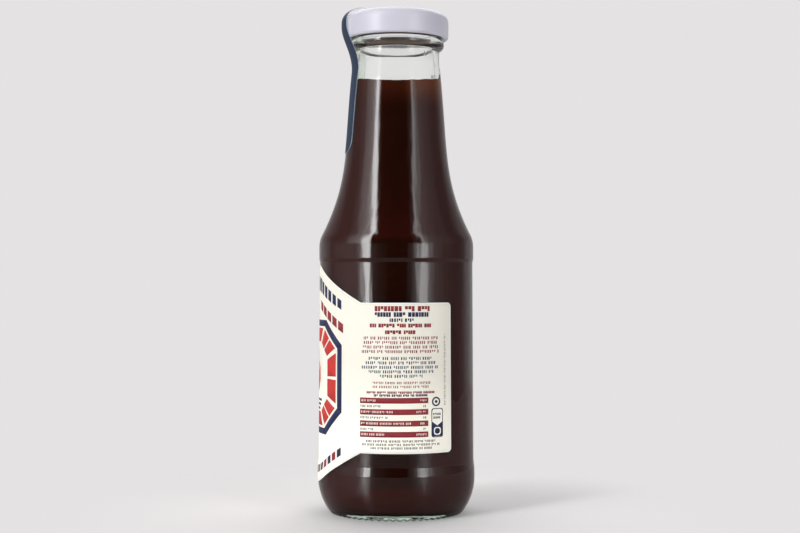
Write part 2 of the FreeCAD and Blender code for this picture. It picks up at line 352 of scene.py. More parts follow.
def run(a, b, longest=6.0, support=0.25):
    length = math.dist(a, b)
    if length < 3 * support:
        return [a, b]
    inner = max(1, math.ceil((length - 2 * support) / longest))
    shares = [0] + [(support + (length - 2 * support) * k / inner) / length for k in range(inner + 1)] + [1]
    return [tuple(Vector(a).lerp(Vector(b), t)) for t in shares]


def joined(*stretches):
    points = [tuple(stretches[0][0])]
    for stretch in stretches:
        if math.dist(points[-1], stretch[0]) > 1e-4:
            points += [tuple(p) for p in run(points[-1], stretch[0])[1:]]
        for point in stretch:
            if math.dist(point, points[-1]) > 1e-4:
                points.append(tuple(point))
    return points


def chain(*corners, steps=4):
    """Straight runs through (radius, height, cut): a corner is rounded from that far off."""
    stretches = []
    for i, (x, z, cut) in enumerate(corners):
        here = Vector((x, z))
        if cut == 0:
            stretches.append([tuple(here)])
            continue
        a = here + (Vector(corners[i - 1][:2]) - here).normalized() * cut
        b = here + (Vector(corners[i + 1][:2]) - here).normalized() * cut
        shares = [k / steps for k in range(steps + 1)]
        stretches.append([tuple(a * (1 - t) ** 2 + here * 2 * t * (1 - t) + b * t * t) for t in shares])
    return joined(*stretches)


print("a straight run of 20 mm gets", len(run((0, 0), (0, 20))), "points")

# %% [markdown]
# ## Trees
# Both Geometry Nodes trees are made alike. Their inputs have names, and their shape is
# shaded smooth, made real and given its material. A modifier fills the inputs in.

# %% Tree tools
def new_tree(name, inputs, result):
    """A tree with named inputs and one output, and the sockets of its inputs."""
    tree = bpy.data.node_groups.new(name, "GeometryNodeTree")
    for label, kind, default in inputs:
        socket = tree.interface.new_socket(label, in_out="INPUT", socket_type="NodeSocket" + kind)
        if default is not None:
            socket.default_value = default
    tree.interface.new_socket(result, in_out="OUTPUT", socket_type="NodeSocketGeometry")
    return tree, add(tree, "NodeGroupInput").outputs


def finish_tree(tree, shape, material):
    smooth = put(tree, "GeometryNodeSetShadeSmooth", {0: shape})
    real = put(tree, "GeometryNodeRealizeInstances", {0: smooth})
    coated = put(tree, "GeometryNodeSetMaterial", {"Geometry": real, "Material": material})
    add(tree, "NodeGroupOutput", {0: coated})
    print(f"{tree.name}: {len(tree.nodes)} nodes")
    return tree


def run_tree(piece, tree, values, name, thickness=0.0):
    """Set the tree's inputs by their identifiers, thicken a sheet, and settle the result."""
    modifier = piece.modifiers.new(tree.name, "NODES")
    modifier.node_group = tree
    sockets = {item.name: item.identifier for item in tree.interface.items_tree if item.in_out == "INPUT"}
    for key, value in values.items():
        modifier[sockets[key]] = value
    if thickness:
        thicken(piece, thickness)
    made = settle(piece, name)
    made.data.materials.clear()
    made.data.materials.append(values["Material"])
    return made

# %% [markdown]
# ## The turning tree
# On a lathe the outline stays still and the work turns. The tree does the same with a
# grid: one side of the grid counts the outline's points, the other counts the steps
# round the axis, and each grid point is moved to its place. Four attributes on the
# outline let a turned piece be more than round: `knurl` lifts scallops into the
# standing ring, `track` pushes out tracks or lugs, `seam` raises the two fine ridges
# where the halves of a mould meet, and `ripple` makes a wetted edge uneven. Merging by
# distance closes the turn and the poles.

# %% Turning tree
OUTLINE_SHARES = ("knurl", "track", "seam", "ripple")


def make_turning_tree():
    tree, given = new_tree("turn_outline", (
        ("Outline", "Geometry", None), ("Steps Round", "Int", 240), ("Knurls", "Int", 60),
        ("Knurl Depth", "Float", 0.0), ("Tracks", "Int", 4), ("Track Depth", "Float", 0.0),
        ("Track Share", "Float", 0.69), ("Seam Angle", "Float", 0.0), ("Seam Height", "Float", 0.0),
        ("Ripple Height", "Float", 0.0), ("Ripples Round", "Float", 3.0), ("Climb Height", "Float", 0.0),
        ("Streak Height", "Float", 0.0), ("Streak Angle", "Float", 1.5), ("Material", "Material", None)),
        "Turned")

    def calc(operation, a, b=0.0, c=0.0):
        return maths(tree, operation, a, b, c)

    def times(first, *others):
        for other in others:
            first = calc("MULTIPLY", first, other)
        return first

    here = put(tree, "GeometryNodeInputPosition")
    count = add(tree, "GeometryNodeAttributeDomainSize", {0: given["Outline"]}).outputs["Point Count"]
    last = calc("SUBTRACT", count, 1.0)
    grid = add(tree, "GeometryNodeMeshGrid", {
        "Size X": last, "Size Y": 1.0, "Vertices X": count,
        "Vertices Y": calc("ADD", given["Steps Round"], 1.0)}).outputs["Mesh"]
    spot = split(tree, here)
    index = calc("ROUND", calc("MULTIPLY_ADD", last, 0.5, spot["X"]))
    turn = times(calc("ADD", spot["Y"], 0.5), math.tau)
    ahead, side = calc("COSINE", turn), calc("SINE", turn)

    def from_outline(value, data_type):
        return add(tree, "GeometryNodeSampleIndex", {
            "Geometry": given["Outline"], "Value": value, "Index": index},
            data_type=data_type, domain="POINT").outputs["Value"]

    point = split(tree, from_outline(here, "FLOAT_VECTOR"))
    share = {}
    for name in OUTLINE_SHARES:
        share[name] = from_outline(named(tree, name), "FLOAT")

    scallop = calc("MULTIPLY_ADD", calc("COSINE", times(turn, given["Knurls"])), 0.5, 0.5)
    lift = times(scallop, given["Knurl Depth"], share["knurl"])

    saw = calc("FRACT", times(calc("DIVIDE", turn, math.tau), given["Tracks"]))
    from_middle = calc("SUBTRACT", 1.0, times(calc("ABSOLUTE", calc("SUBTRACT", saw, 0.5)), 2.0))
    window = ramp(tree, calc("SUBTRACT", given["Track Share"], from_middle), 0.0, 0.12, curve="LINEAR")
    push = times(window, given["Track Depth"], share["track"])

    off_seam = calc("ABSOLUTE", calc("SINE", calc("SUBTRACT", turn, given["Seam Angle"])))
    on_seam = calc("LESS_THAN", times(off_seam, given["Steps Round"]), 2.0)
    ridge = times(on_seam, given["Seam Height"], share["seam"])

    across = put(tree, "ShaderNodeCombineXYZ", {0: ahead, 1: side})
    uneven = add(tree, "ShaderNodeTexNoise", {
        "Vector": across, "Scale": given["Ripples Round"], "Detail": 3.0}).outputs["Fac"]
    wave = times(calc("SUBTRACT", uneven, 0.5), given["Ripple Height"])
    climb = times(calc("SUBTRACT", times(side, side), 0.27), given["Climb Height"])
    from_streak = calc("ABSOLUTE", calc("SUBTRACT", turn, given["Streak Angle"]))
    streak = times(ramp(tree, from_streak, 0.02, 0.22, 1.0, 0.0, "SMOOTHERSTEP"), given["Streak Height"])
    wetted = times(calc("ADD", calc("ADD", wave, climb), streak), share["ripple"])

    radius = calc("ADD", point["X"], calc("ADD", push, ridge))
    height = calc("ADD", calc("ADD", point["Z"], lift), wetted)
    place = put(tree, "ShaderNodeCombineXYZ", {
        0: times(ahead, radius), 1: times(side, radius), 2: height})
    turned = put(tree, "GeometryNodeSetPosition", {"Geometry": grid, "Position": place})
    closed = put(tree, "GeometryNodeMergeByDistance", {"Geometry": turned, "Distance": 0.001 * MM})
    outwards = put(tree, "GeometryNodeFlipFaces", {0: closed})
    return finish_tree(tree, outwards, given["Material"])


turning_tree = make_turning_tree()


def turn(name, outline, material, values, **shares):
    """Turn an outline in mm. Each share is a function of an outline point."""
    piece = mesh_object(name + "_outline", [(x * MM, 0, z * MM) for x, z in outline])
    for key in OUTLINE_SHARES:
        share = shares.get(key, lambda x, z: 0.0)
        set_attribute(piece, key, [float(share(x, z)) for x, z in outline])
    return run_tree(piece, turning_tree, {**values, "Material": material}, name)


def add_material(piece, material, chosen):
    """Give a piece one more material, on the faces that a function chooses."""
    piece.data.materials.append(material)
    for face in piece.data.polygons:
        if chosen(face.center / MM, face.normal):
            face.material_index = len(piece.data.materials) - 1

# %% [markdown]
# ## The glass bottle
# The bottle is blown in a two-part mould. Its wall is 2.8 mm thick, the floor a little
# less, and the inside follows the outside with softer corners. The outline
# runs from the middle of the base up the outside, over the lip and down the inside
# again, so the glass is one closed skin and light bends in it as it should.

# %% Bottle sizes in mm
body, panel_low, panel_high, shoulder = 30.75, 30.35, 29.92, 30.27
body_top, panel_foot, panel_head, ledge = 17.3, 20.4, 97.7, 99.1
shoulder_arc, shoulder_start, shoulder_lean, neck_lean = 10.7, 103.8, 26.7, 5.9
foot_inner, foot_edge, heel_height, heel_arc = 22.65, 25.85, 14.0, 22.45
neck, neck_top, collar, collar_start, collar_top = 17.35, 172.0, 16.8, 176.2, 180.4
bead_middle, bead_centre, bead_round = 183.0, 16.43, 2.3
finish, finish_start, track_low, mouth, mouth_height = 17.4, 185.3, 187.6, 14.2, 193.4
wall, floor_height, floor_rise, floor_edge, floor_rounding = 2.8, 3.2, 0.5, 19.55, 8.0
push_up, lip_round = 1.0, 1.2
level = LEVEL / MM


def flank(inset):
    """Shoulder and neck, moved in by a distance."""
    bend = arc((shoulder - shoulder_arc, shoulder_start), shoulder_arc - inset, 0, shoulder_lean, 12)
    leaves, ends = Vector(bend[-1]), Vector((neck - inset, neck_top))
    rise = ends.y - leaves.y
    return bend + bezier(leaves, leaves + lean(shoulder_lean) * rise * 0.38,
                         ends - lean(neck_lean) * rise * 0.47, ends, 44)


def ease_in(start, end):
    """From the neck's slope to upright."""
    half = (end[1] - start[1]) / 2
    return bezier(start, Vector(start) + lean(neck_lean) * half, Vector(end) - Vector((0, half)), end, 6)


def panel(inset, low, cut):
    """Body ring or floor end, label panel and its steps, up to the shoulder."""
    return chain(*low, (panel_low - inset, panel_foot, cut), (panel_high - inset, panel_head, cut / 2),
                 (shoulder - inset, ledge, cut / 2), (shoulder - inset, shoulder_start, 0))


def cavity(gap=0.0):
    """Inner surface from the floor up to the mouth, set into the wall by a gap."""
    floor, rounding, inset = floor_height - gap, floor_rounding + gap, wall - gap
    level_floor = bezier((0, floor + floor_rise), (floor_edge / 2, floor + floor_rise),
                         (floor_edge / 2, floor), (floor_edge, floor), 12)
    heel = arc((floor_edge, floor + rounding), rounding, -90, 0, 14)
    side = panel(inset, [(*heel[-1], 0)], 1.2)
    bore = ease_in((neck - inset, neck_top), (mouth + gap, collar_start))
    return joined(level_floor, heel, side, flank(inset), bore, [(mouth + gap, mouth_height)])


print("the cavity's outline has", len(cavity()), "points")

# %% Turn the bottle
underside = bezier((0, push_up), (0.6 * foot_inner, push_up), (0.8 * foot_inner, 0), (foot_inner, 0), 14)
heel = arc((body - heel_arc, heel_height), heel_arc, -36.5, 0, 20)
foot = chain((foot_inner, 0, 0), (23.7, 0, 0), (24.8, 0, 0), (foot_edge, 0, 0.55), (*heel[0], 0))
outside = panel(0, [(body, heel_height, 0), (body, body_top, 0.8)], 0.8)
bead = arc((bead_centre, bead_middle), bead_round, -80, 65, 16)
throat = chain((collar, collar_start, 0), (collar, collar_top, 0.35), (*bead[0], 0))
lip_start = mouth_height - lip_round
finish_wall = chain((*bead[-1], 0), (finish, finish_start, 0.3),
                    *((finish, track_low + up, 0) for up in (0, 0.25, 1.05, 1.3)), (finish, lip_start, 0))
lip = arc((finish - lip_round, lip_start), lip_round, 0, 90, 6)
glass_outline = joined(underside, foot, heel, outside, flank(0),
                       ease_in((neck, neck_top), (collar, collar_start)), throat, bead, finish_wall, lip,
                       list(reversed(cavity())))


def is_outside(x, z):
    inmost = 27.9 if z < 104 else neck - 1.4
    return 2.0 < z < mouth_height - 2 and x > inmost


bottle = turn("bottle_glass", glass_outline, glass,
              {"Steps Round": 360, "Knurls": 60, "Knurl Depth": 0.4 * MM, "Track Depth": 1.2 * MM,
               "Seam Angle": math.radians(41), "Seam Height": 0.09 * MM},
              knurl=lambda x, z: x > foot_inner - 0.1 and max(0.0, 1 - z / 0.65),
              track=lambda x, z: x > finish - 0.01 and track_low + 0.1 < z < track_low + 1.2,
              seam=is_outside)
finish_piece(bottle, "bottle")

# %% [markdown]
# ## The sauce
# Thick sauce wets the glass, so its skin is set just into the wall: no film of air
# is left to mirror the light. Its upper rim climbs the glass a little and unevenly,
# where the bottle was tipped. The skin against the glass and the open surface are
# two materials, because only the open one shines.

# %% Turn the sauce
inside = [p for p in cavity(0.12) if p[1] < level - 0.4]
rim = inside[-1][0] - 0.05
meniscus = ((0, 0), (0.25, 0.12), (0.7, 0.5), (1.4, 0.8), (2.6, 0.95))
surface = [(rim - s, level - drop) for s, drop in meniscus] + [(s, level - 1) for s in (rim / 2, 2, 0)]
sauce_outline = joined(inside, [(rim, level - 0.2)], surface)
sauce = turn("sauce_body", sauce_outline, sauce_wetting,
             {"Steps Round": 240, "Ripple Height": 0.9 * MM, "Ripples Round": 4.5, "Climb Height": 1.9 * MM,
              "Streak Height": 2.2 * MM, "Streak Angle": math.radians(88)},
             ripple=lambda x, z: max(0.0, 1 - (level - z) / 0.9) if z > level - 0.95 else 0.0)
add_material(sauce, sauce_open, lambda middle, normal: middle.z > level - 1.3 and normal.z > 0.3)
finish_piece(sauce, "sauce")

# %% [markdown]
# ## The cap
# A twist-off cap is pressed from thin tinplate: a plain skirt with its lower edge
# rolled inwards, a rounded shoulder, and a top whose middle is pressed down a little.
# Four lugs are pinched into the roll and catch under the tracks on the glass. Inside,
# a ring of soft compound seals the mouth, shown here as the thick top, and the inner
# faces have a gold lacquer that tints what is seen of them through the neck.

# %% Turn the cap
cap_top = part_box("cap")[1].z / MM
cap_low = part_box("cap")[0].z / MM
cap_radius, cap_round, sheet, roll, pressed = 20.5, 3.5, 0.3, 1.1, 0.5
liner_radius = 16.2
roll_centre = (cap_radius - roll, cap_low + roll)
edge_centre = (cap_radius - cap_round, cap_top - cap_round)
cap_outline = joined(
    chain((0, mouth_height, 0), (liner_radius, mouth_height, 0), (liner_radius, cap_top - sheet, 0)),
    arc(edge_centre, cap_round - sheet, 90, 0, 10), [(cap_radius - sheet, cap_low + 2.3)],
    arc(roll_centre, roll, 90, 360, 20), [(cap_radius, cap_low + 2.4)],
    arc(edge_centre, cap_round, 0, 90, 16),
    chain((13.6, cap_top, 0), (12.5, cap_top - pressed, 0.5), (6, cap_top - pressed, 0),
          (0, cap_top - pressed, 0)))


def is_lacquered(middle, normal):
    """The faces over the roll that look inwards or well down."""
    outwards = Vector((middle.x, middle.y, 0)).normalized()
    faces_in = normal.dot(outwards) < -0.3 and normal.z < 0.3
    return middle.z > cap_low + 2 * roll and (faces_in or normal.z < -0.5)


cap = turn("cap_shell", cap_outline, enamel,
           {"Steps Round": 240, "Tracks": 4, "Track Depth": -0.6 * MM, "Track Share": 0.2},
           track=lambda x, z: x < roll_centre[0] - 0.6 and abs(z - roll_centre[1]) < 1.0)
add_material(cap, cap_lacquer, is_lacquered)
finish_piece(cap, "cap")

# %% [markdown]
# ## Bending paper round glass
# A label is printed flat and then rolled on. The wrapping tree takes a flat sheet,
# whose X is the distance from the middle of the front and whose Z is the height, and
# rolls it: distance becomes an angle. The attribute `glass_radius` says how far out
# the glass stands at each point, and Lift lays one layer on another.

# %% Wrapping tree
def make_wrapping_tree():
    tree, given = new_tree("wrap_round", (
        ("Flat", "Geometry", None), ("Roll Radius", "Float", panel_high * MM), ("Lift", "Float", 0.0),
        ("Material", "Material", None)), "Wrapped")
    flat = split(tree, put(tree, "GeometryNodeInputPosition"))
    radius = maths(tree, "ADD", named(tree, "glass_radius"), given["Lift"])
    angle = maths(tree, "DIVIDE", flat["X"], given["Roll Radius"])
    across = maths(tree, "MULTIPLY", maths(tree, "SINE", angle), radius)
    ahead = maths(tree, "MULTIPLY", maths(tree, "COSINE", angle), radius)
    place = put(tree, "ShaderNodeCombineXYZ", {
        0: across, 1: maths(tree, "MULTIPLY", ahead, -1.0), 2: flat["Z"]})
    wrapped = put(tree, "GeometryNodeSetPosition", {"Geometry": given["Flat"], "Position": place})
    return finish_tree(tree, wrapped, given["Material"])


wrapping_tree = make_wrapping_tree()


def glass_radius(z):
    """Radius that paper takes up at a height: it bridges the step below the panel."""
    if z < heel_height:
        return body - heel_arc + math.sqrt(heel_arc ** 2 - (heel_height - z) ** 2)
    on_panel = panel_low + (panel_high - panel_low) * (z - panel_foot) / (panel_head - panel_foot)
    t = min(1, max(0, (z - 17.0) / 4.2))
    return body + (on_panel - body) * t * t * (3 - 2 * t)


def wrap(name, flat, lift, thickness, material, node=None):
    """Roll a flat mesh in mm onto the bottle, as a layer of paper or ink."""
    for point in flat.data.vertices:
        point.co *= MM
    set_attribute(flat, "glass_radius", [glass_radius(p.co.z / MM) * MM for p in flat.data.vertices])
    layer = run_tree(flat, wrapping_tree, {"Lift": lift * MM, "Material": material}, name, thickness)
    return finish_piece(layer, node)

# %% [markdown]
# ## The label sheet
# The sheet is cut with a tall pointed front and a lower panel on each side. White
# paper shows as a hairline round a cream field, as print that stops short of the cut
# does. Each sheet is a row of columns, whose ends follow the cut.

# %% Label sheet
label_half, front_half, front_slope, label_corner = 69.4, 33.3, 28.1, 1.6
panel_edges, front_points = (26.0, 82.4), (12.1, 97.2)
COLUMN = 1.2


def corner_cut(past, radius):
    """How far a rounded corner draws an edge back, at a distance past the corner's start."""
    past = min(max(0.0, past), radius)
    return radius - math.sqrt(radius ** 2 - past ** 2)


def cut_edge(distance, upper):
    """Height of the label's cut edge, at a distance from the middle of the front."""
    sign = 1 if upper else -1
    edge, point = panel_edges[upper], front_points[upper]
    slope, distance = math.radians(front_slope), abs(distance)
    if distance > front_half:
        return edge - sign * corner_cut(distance - (label_half - label_corner), label_corner)
    peak = edge + sign * front_half * math.tan(slope)
    crown = sign * (peak - point) / (1 / math.cos(slope) - 1)
    if distance < crown * math.sin(slope):
        return point - sign * (crown - math.sqrt(crown ** 2 - distance ** 2))
    return edge + sign * (front_half - distance) * math.tan(slope)


def grid_faces(columns, rows):
    """Quads of a sheet whose points come column by column."""
    return [(i * rows + k, (i + 1) * rows + k, (i + 1) * rows + k + 1, i * rows + k + 1)
            for i in range(columns - 1) for k in range(rows - 1)]


def sheet_mesh(name, border, rows=61):
    """Flat sheet within the cut edge, less a border."""
    ends, inner = label_half - border, label_half - label_corner
    bend = [inner + (ends - inner) * math.sin(math.radians(15 * k)) for k in range(1, 7)]
    count = math.ceil(inner / COLUMN)
    half = [inner * k / count for k in range(1, count + 1)] + [front_half - 0.05, front_half + 0.05] + bend
    across = sorted([-s for s in half] + [0.0] + half)
    points = []
    for s in across:
        true_s = s * label_half / ends if abs(s) > inner else s
        margin = border * (1.13 if abs(s) < front_half else 1)
        low, high = cut_edge(true_s, False) + margin, cut_edge(true_s, True) - margin
        points += [(s, 0, low + (high - low) * k / (rows - 1)) for k in range(rows)]
    return mesh_object(name + "_flat", points, faces=grid_faces(len(across), rows))


wrap("label_sheet", sheet_mesh("label_sheet", 0.0), 0.02, 0.10, white_paper, "label")
wrap("label_field", sheet_mesh("label_field", 0.4), 0.11, 0.02, cream_ink)

# %% [markdown]
# ## The print
# A pack's print is blocks of colour, rules and lines of small type. Type this small
# reads as rows of ticks, so each line is greeked: words of a few ticks each, drawn
# with a seeded generator. The front carries a plain badge of a flame over grill bars.
# Every colour is one layer of thin ink, cut into narrow columns so that it bends round
# the glass, and into rows at its foot, where the glass bends in to the heel.

# %% Print tools
INK_LIFT, TOP_INK_LIFT, INK_THICKNESS = 0.15, 0.175, 0.02
LOWEST_ROW, ROW, ROWS = 12.13, 0.47, 26
WORD_LENGTHS, LETTER_SPACING, WORD_SPACE = (3, 9), (0.5, 0.85), 0.55
dice = random.Random(38)
inks = {"navy": [], "red": [], "bright": [], "cream": []}


def block(s0, s1, z0, z1):
    return [(s0, z0), (s1, z0), (s1, z1), (s0, z1)]


def stripe(ink, s0, s1, upper, off, tall):
    """An upright bar whose ends follow the label's cut edge, so far off it."""
    z0, z1 = cut_edge(s0, upper) + off, cut_edge(s1, upper) + off
    inks[ink].append([(s0, z0), (s1, z1), (s1, z1 + tall), (s0, z0 + tall)])


def greeked(s0, s1, z, tall, weight):
    """A line of words made of ticks. The weight is the inked share of each tick."""
    shapes, at_s = [], s0
    while at_s < s1 - 0.4 * tall:
        ticks = dice.randint(*WORD_LENGTHS)
        for _ in range(ticks):
            pitch = tall * dice.uniform(*LETTER_SPACING)
            if at_s + pitch > s1:
                break
            low = z - tall / 2 + (tall * 0.38 if dice.random() < 0.2 else 0)
            shapes.append(block(at_s, at_s + pitch * weight, low, z + tall / 2))
            at_s += pitch
        at_s += tall * WORD_SPACE
    return shapes


def write(ink, s0, s1, z, tall, weight):
    inks[ink] += greeked(s0, s1, z, tall, weight)


def turned_up(shapes, s, z):
    """Shapes drawn about zero, turned to read upwards and moved to a place."""
    return [[(s - b, z + a) for a, b in shape] for shape in shapes]


def disc(s, z, radius, count=24):
    return arc((s, z), radius, 0, 360, count)[:-1]


def soft_box(s0, s1, z0, z1, r=0.9):
    """A box with rounded corners."""
    corners = ((s1 - r, z1 - r), (s0 + r, z1 - r), (s0 + r, z0 + r), (s1 - r, z0 + r))
    return [point for k, corner in enumerate(corners) for point in arc(corner, r, 90 * k, 90 * k + 90, 4)]


def band(outer, inner):
    """Quads between two outlines with the same number of points."""
    count = len(outer)
    return [[outer[k], outer[(k + 1) % count], inner[(k + 1) % count], inner[k]] for k in range(count)]


def frame_box(ink, s0, s1, z0, z1, line):
    """A box of a given line width."""
    inks[ink] += band(soft_box(s0, s1, z0, z1), soft_box(s0 + line, s1 - line, z0 + line, z1 - line))


def print_layer(name, shapes, lift, material):
    """One ink: its shapes, cut so that they bend, and wrapped."""
    work = bmesh.new()
    for shape in shapes:
        work.faces.new([work.verts.new((s, 0, z)) for s, z in shape])
    work.normal_update()
    for face in work.faces:
        if face.normal.y > 0:
            face.normal_flip()
    bmesh.ops.triangulate(work, faces=work.faces[:])
    reach = int(max(abs(v.co.x) for v in work.verts) / COLUMN)
    cuts = [((k * COLUMN, 0, 0), (1, 0, 0)) for k in range(-reach, reach + 1)]
    cuts += [((0, 0, LOWEST_ROW + ROW * k), (0, 0, 1)) for k in range(ROWS)]
    for point, normal in cuts:
        bmesh.ops.bisect_plane(work, geom=work.verts[:] + work.edges[:] + work.faces[:],
                               plane_co=point, plane_no=normal, dist=1e-4)
    flat = mesh_object(name + "_flat", [])
    work.to_mesh(flat.data)
    work.free()
    wrap(name, flat, lift, INK_THICKNESS, material)


print("inks", list(inks))

# %% [markdown]
# ## What the print says without words
# The right panel has a heading, two paragraphs, a table of barred rows and two small
# pictograms. The left panel has a longer text and a framed box. A line is given by its
# ink, its two ends, its height on the bottle, the height of its letters and its weight.

# %% Right panel
for ink, s0, s1, z, tall, weight in (
        ("red", 38.9, 60.0, 80.2, 1.9, 0.84), ("navy", 38.9, 60.0, 78.0, 1.7, 0.84),
        ("navy", 44.5, 54.6, 75.9, 1.3, 0.66), ("red", 37.0, 61.7, 73.9, 1.4, 0.84),
        ("red", 42.8, 55.8, 71.4, 1.4, 0.84)):
    write(ink, s0, s1, z, tall, weight)
for k, (s0, s1) in enumerate(((34.6, 63.6), (34.6, 63.4), (34.2, 63.6), (33.8, 64.2))):
    write("red", s0, s1, 69.2 - 1.68 * k, 1.1, 0.5)
for k, (s0, s1) in enumerate(((36.6, 61.7), (35.4, 63.0), (33.8, 64.2), (36.6, 61.7), (40.9, 57.7))):
    write("navy", s0, s1, 61.6 - 1.66 * k, 1.1, 0.5)
for z in (52.5, 51.0):
    write("red", 38.2, 60.4, z, 0.9, 0.45)
write("red", 35.8, 62.1, 48.9, 0.85, 0.75)
write("navy", 38.6, 59.2, 47.8, 0.85, 0.75)
for k, z in enumerate((45.85, 41.6, 37.3, 33.2)):
    inks["red"].append(block(33.1, 59.1, z - 1.05, z + 1.05))
    write("cream", 33.6, 40.0 + 3.2 * ((k * 2) % 5), z, 0.8, 0.45)
    write("cream", 56.0 - 1.5 * (k % 2), 58.7, z, 0.8, 0.45)
    if k < 3:
        write("navy", 33.3, 39.0 + 2.6 * ((k + 1) % 3), z - 2.1, 0.85, 0.45)
        write("navy", 57.2, 58.8, z - 2.1, 0.85, 0.45)
for z, s0, s1 in ((30.7, 35.6, 62.6), (29.4, 34.0, 64.2), (28.1, 37.4, 60.8)):
    write("navy", s0, s1, z, 0.85, 0.5)
# Two upright lines are drawn, and the second is printed.
upright = [greeked(-13.5, 13.5, 0, 0.7, weight) for weight in (0.35, 0.3)][-1]
inks["navy"] += turned_up(upright, 66.3, 57.4)

inks["navy"] += band(disc(62.4, 45.3, 1.8), disc(62.4, 45.3, 1.2)) + [disc(62.4, 45.3, 0.6, 8)]
frame_box("navy", 60.4, 65.4, 31.9, 42.8, 0.3)
inks["navy"].append([(60.5, 32.3), (65.3, 32.3), (65.3, 37.9), (62.9, 36.3), (60.5, 37.9)])
for z in (40.6, 39.3):
    write("navy", 61.2, 64.7, z, 0.8, 0.6)
frame_box("cream", 61.4, 64.4, 32.8, 35.7, 0.4)
print("right panel", {ink: len(shapes) for ink, shapes in inks.items()})

# %% Left panel
for k in range(3):
    write("red", -62.0 + 2 * k, -37.0 - 2 * k, 79.6 - 2.6 * k, 1.7, 0.78)
for ink, lines, s0, s1, top in (("navy", 9, -64.2, -35.0, 70.6), ("red", 5, -62.5, -36.5, 53.4)):
    for k in range(lines):
        write(ink, s0 + dice.uniform(0, 2), s1 - dice.uniform(0, 3), top - 1.7 * k, 1.05, 0.5)
frame_box("navy", -64.6, -35.0, 28.6, 43.2, 0.4)
for k in range(4):
    inks["red"].append(block(-63.0, -50.0 + 2 * (k % 2), 40.2 - 3 * k, 41.4 - 3 * k))
    write("navy", -46.5, -37.0, 40.8 - 3 * k, 0.9, 0.5)
print("both panels", {ink: len(shapes) for ink, shapes in inks.items()})

# %% [markdown]
# ## The badge on the front
# A broad eight-sided badge: a navy rim, a red band cut by cream spokes, and a cream
# middle with a flame over three grill bars. Stripes follow the sloping edges above and
# below it, since those edges give the label its shape.

# %% Front badge
def octagon(half_wide, half_tall, z, cut=0.42):
    a, b = half_wide * (1 - cut), half_tall * (1 - cut)
    return [(half_wide, z - b), (half_wide, z + b), (a, z + half_tall), (-a, z + half_tall),
            (-half_wide, z + b), (-half_wide, z - b), (-a, z - half_tall), (a, z - half_tall)]


badge_z = 53.5
centre = Vector((0, badge_z))
inks["navy"] += band(octagon(24.5, 22.0, badge_z), octagon(22.0, 19.6, badge_z))
corners = octagon(21.2, 18.8, badge_z)
for start, end in zip(corners, corners[1:] + [(21.2, badge_z - 10.9)]):
    for a, b in ((0.06, 0.47), (0.53, 0.94)):
        p, q = Vector(start).lerp(Vector(end), a), Vector(start).lerp(Vector(end), b)
        inner_q, inner_p = centre + (q - centre) * 0.72, centre + (p - centre) * 0.72
        inks["bright"].append([tuple(p), tuple(q), tuple(inner_q), tuple(inner_p)])
flame = [(0, -8), (4.6, -6.6), (7.4, -2.6), (7.0, 1.8), (4.4, 4.4), (4.6, 1.4), (2.6, 0.2),
         (3.0, 4.2), (1.6, 8.0), (-1.6, 11.0), (-1.0, 6.6), (-3.0, 3.6), (-3.6, 6.0),
         (-6.4, 2.2), (-7.2, -2.4), (-4.6, -6.6)]
inks["bright"].append([(s, badge_z + 1.6 + z) for s, z in flame])
inks["cream"].append([(0.35 * s, badge_z - 1.6 + 0.42 * z) for s, z in flame])
for k in range(3):
    half_bar, bar_top = 9.5 - 1.2 * k, badge_z - 8.5 - 1.7 * k
    inks["navy"].append(block(-half_bar, half_bar, bar_top - 0.9, bar_top))
for sign in (1, -1):
    for k in range(7):
        s0, s1, tall = sign * (3.4 + 3.1 * k), sign * (5.6 + 3.1 * k), 5.6 - 0.35 * k
        stripe("navy", s0, s1, True, -4.2 - tall, tall)
        stripe("red" if k % 2 else "navy", s0, s1, False, 3.4, 3.0)
    for k in range(5):
        stripe("red", sign * (8.0 + 3.6 * k), sign * (10.8 + 3.6 * k), True, -16.0, 3.4)

for name, ink, lift, material in (
        ("print_navy", "navy", INK_LIFT, navy_ink), ("print_dark_red", "red", INK_LIFT, red_ink),
        ("print_bright_red", "bright", INK_LIFT, bright_red_ink),
        ("print_cream", "cream", TOP_INK_LIFT, cream_ink)):
    print_layer(name, inks[ink], lift, material)

# %% [markdown]
# ## The seal strip
# A strip of navy paper runs up the front of the neck, bridges to the cap, bends over
# its edge and ends past the middle of the top. It is one sheet, so it is built as
# columns that follow the same path, with rounded ends. Cut paper shows its pale core
# at the edge, and its back is unprinted: these are the strip's other two materials.

# %% Seal strip
strip_half, strip_corner, strip_low = 9.4, 4.6, neck_top - 31.3
strip_lift, strip_thickness = 0.03, 0.22
strip_off_cap, strip_lands, strip_end = 0.8, 12.0, 6.0
HALF_COLUMNS, NECK_ROWS, TOP_ROWS = 20, 34, 14


def strip_path():
    """(radius, height) of the strip's underside, from the neck to the flat of the top."""
    neck_part = [p for p in flank(-strip_lift) if p[1] >= strip_low - 2]
    leaves = Vector(neck_part[-1])
    meets = Vector((cap_radius + strip_off_cap + strip_lift, cap_low + 4.8))
    rise = meets.y - leaves.y
    free = bezier(leaves, leaves + lean(neck_lean) * rise * 0.42, meets - Vector((0, rise * 0.26)), meets, 20)
    over = arc(edge_centre, cap_round + strip_off_cap + strip_lift, 0, 80, 16)
    landing = Vector((strip_lands, cap_top + strip_lift))
    reach = (over[-1][0] - strip_lands) / 2
    down = bezier(over[-1], Vector(over[-1]) + lean(80) * reach, landing + Vector((reach, 0)), landing, 12)
    return joined(neck_part, free, over, down)


def at_height(path, z):
    """The point of the path at a height."""
    k = next(i for i, p in enumerate(path) if p[1] >= z)
    (r0, z0), (r1, z1) = path[k - 1], path[k]
    return r0 + (r1 - r0) * (z - z0) / (z1 - z0), z


